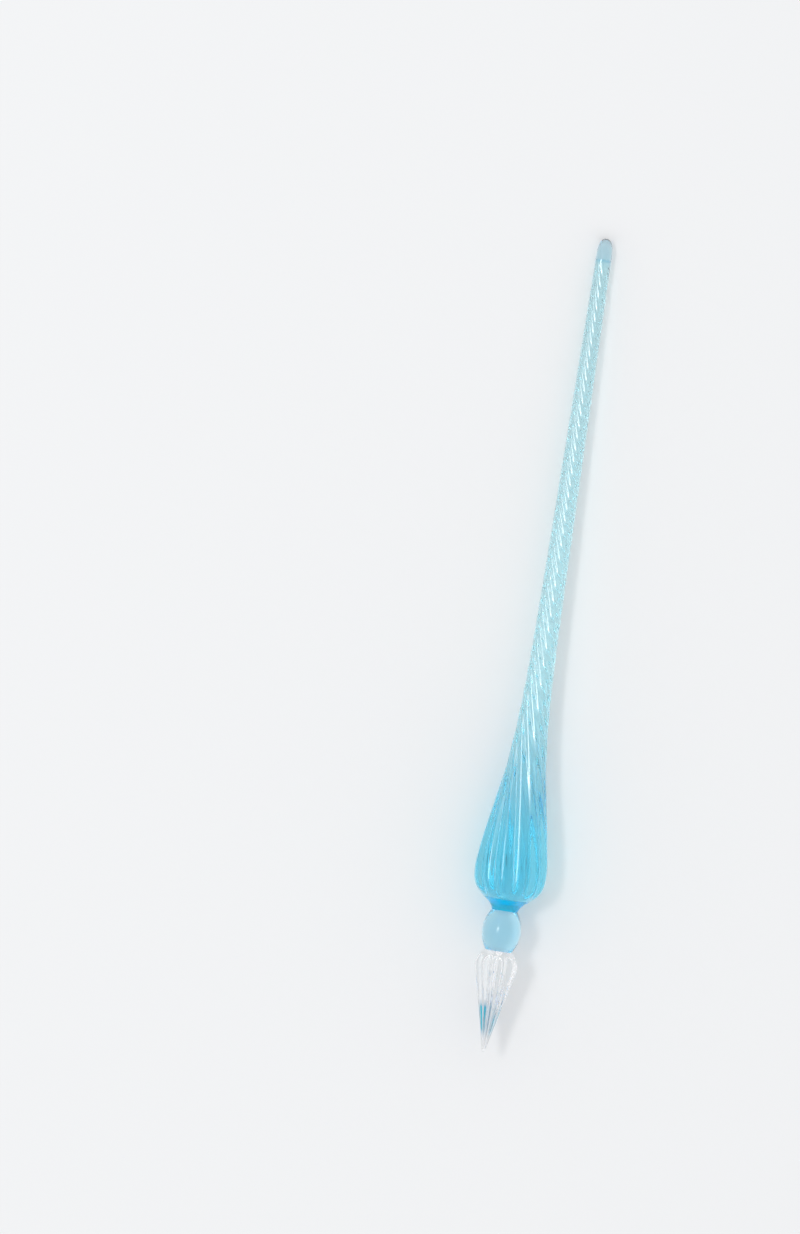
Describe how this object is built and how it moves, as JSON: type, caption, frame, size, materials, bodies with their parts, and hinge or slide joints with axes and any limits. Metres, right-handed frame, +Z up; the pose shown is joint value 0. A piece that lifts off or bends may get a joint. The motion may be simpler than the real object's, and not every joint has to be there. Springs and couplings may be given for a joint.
{
  "type": "glass dip pen",
  "caption": "Handmade glass dip pen: clear fluted nib, pale knop, deep blue neck, ribbed blue grip bulb drawn out into a long twisted stem with a round end.",
  "frame": {"origin": "centre of the bounding box's bottom: on the table, under the middle of the lying pen", "axes": "+X from the writing tip towards the far end, along the table; +Z up; the pen's own axis drops by about 2.5 degrees towards the far end, as it does when the pen lies on its bulb and its end drop"},
  "size_m": [0.1698, 0.0146, 0.0147],
  "materials": {
    "clear_glass": "polished",
    "pale_blue_glass": "polished",
    "deep_blue_glass": "polished",
    "blue_glass": "polished",
    "pale_end_glass": "polished"
  },
  "bodies": {
    "root": {"nib": "clear_glass", "nib_bead": "pale_blue_glass", "neck_collar": "deep_blue_glass", "fluted_handle": "blue_glass", "end_drop": "pale_end_glass"}
  },
  "joints": []
}
